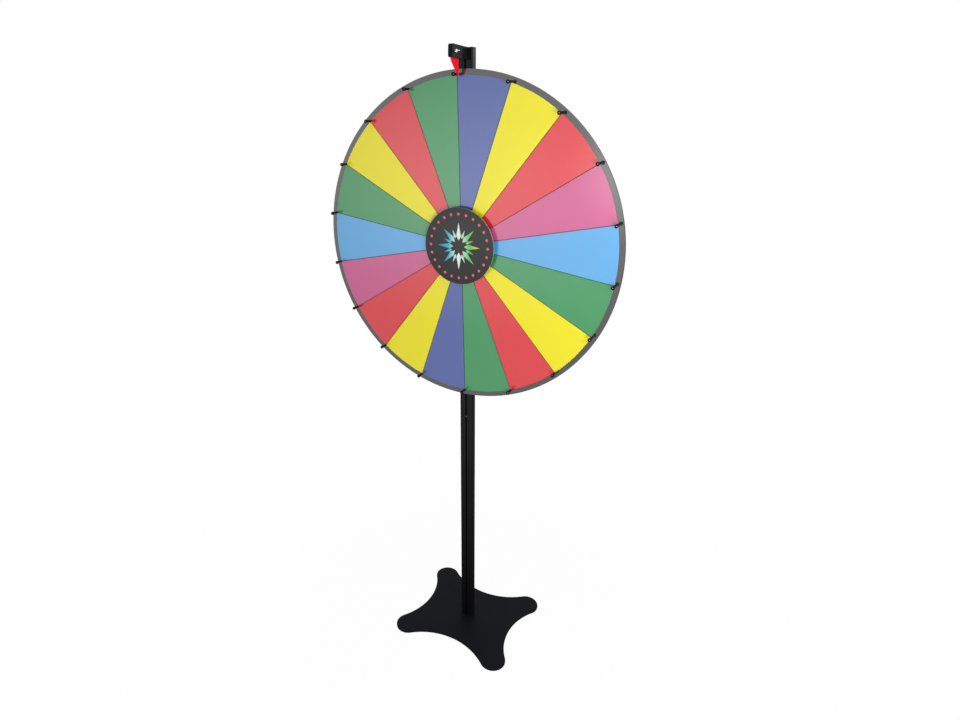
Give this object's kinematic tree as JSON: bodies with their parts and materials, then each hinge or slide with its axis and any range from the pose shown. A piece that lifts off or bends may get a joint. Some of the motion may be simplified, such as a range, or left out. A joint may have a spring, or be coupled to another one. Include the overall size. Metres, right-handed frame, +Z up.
{
  "type": "carnival game wheel",
  "caption": "Floor-standing carnival game wheel: a spinning disc with coloured segments and pegs, a red flapper on a bracket above it, a slotted post and a flat star-shaped base.",
  "frame": {"origin": "on the floor under the post's axis, in the middle of the base plate", "axes": "+Z up along the post, +X to the right seen from the front, the wheel faces -Y"},
  "size_m": [0.9143, 0.37, 1.8716],
  "materials": {
    "base_paint": "satin",
    "rubber": "matte",
    "steel": "satin",
    "zinc": "bright",
    "post_anodised": "satin black anodised",
    "black_plastic": "satin",
    "bearing_steel": "polished",
    "board": "satin",
    "border": "gloss",
    "panel_violet": "gloss",
    "panel_yellow": "gloss",
    "panel_red": "gloss",
    "panel_pink": "gloss",
    "panel_sky": "gloss",
    "panel_green": "gloss",
    "peg_pin": "bright",
    "peg_sleeve": "gloss",
    "aluminium": "turned",
    "cover": "gloss",
    "cage_brass": "satin",
    "flapper_red": "satin"
  },
  "bodies": {
    "stand": {"base_plate": "base_paint", "rubber_feet": "rubber", "base_screws": "steel", "lower_post": "post_anodised", "upper_post": "post_anodised", "splice_bar": "steel", "splice_screws": "zinc", "post_cap": "black_plastic", "flapper_bracket": "black_plastic", "bracket_screws": "steel", "clamp_bolt": "steel", "wing_nut": "zinc", "axle": "steel", "axle_washer": "zinc", "axle_nut": "zinc", "axle_clip": "steel", "bearing_inner_rings": "bearing_steel", "bearing_spacer": "steel"},
    "wheel": {"wheel_board": "board", "wheel_border": "border", "segments_violet": "panel_violet", "segments_yellow": "panel_yellow", "segments_red": "panel_red", "segments_pink": "panel_pink", "segments_sky": "panel_sky", "segments_green": "panel_green", "peg_pins": "peg_pin", "peg_sleeves": "peg_sleeve", "peg_washers": "zinc", "peg_nuts": "zinc", "hub_barrel": "aluminium", "clamp_plate": "aluminium", "hub_bolts": "steel", "hub_nuts": "steel", "bearing_outer_rings": "bearing_steel", "bearing_seals": "rubber", "cover_spacer": "black_plastic", "hub_cover": "cover"},
    "bearing_cage": {"bearing_cages": "cage_brass", "bearing_balls": "bearing_steel"},
    "flapper": {"flapper": "flapper_red"}
  },
  "joints": [
    {"name": "wheel_spin", "type": "hinge", "parent": "stand", "child": "wheel", "pos_m": [0, -0.0375, 1.359], "axis": [0, -1, 0], "continuous": true},
    {"name": "cage_spin", "type": "hinge", "parent": "stand", "child": "bearing_cage", "pos_m": [0, -0.0375, 1.359], "axis": [0, -1, 0], "continuous": true},
    {"name": "flapper_flex", "type": "hinge", "parent": "stand", "child": "flapper", "pos_m": [0, -0.06917, 1.83972], "axis": [0, -0.9986, 0.0523], "range_deg": [-40, 40], "stiffness_Nm_per_rad": 0.2, "deforming": ["flapper"]}
  ],
  "couplings": [
    {"joint": "cage_spin", "follows": "wheel_spin", "ratio": 0.62}
  ]
}
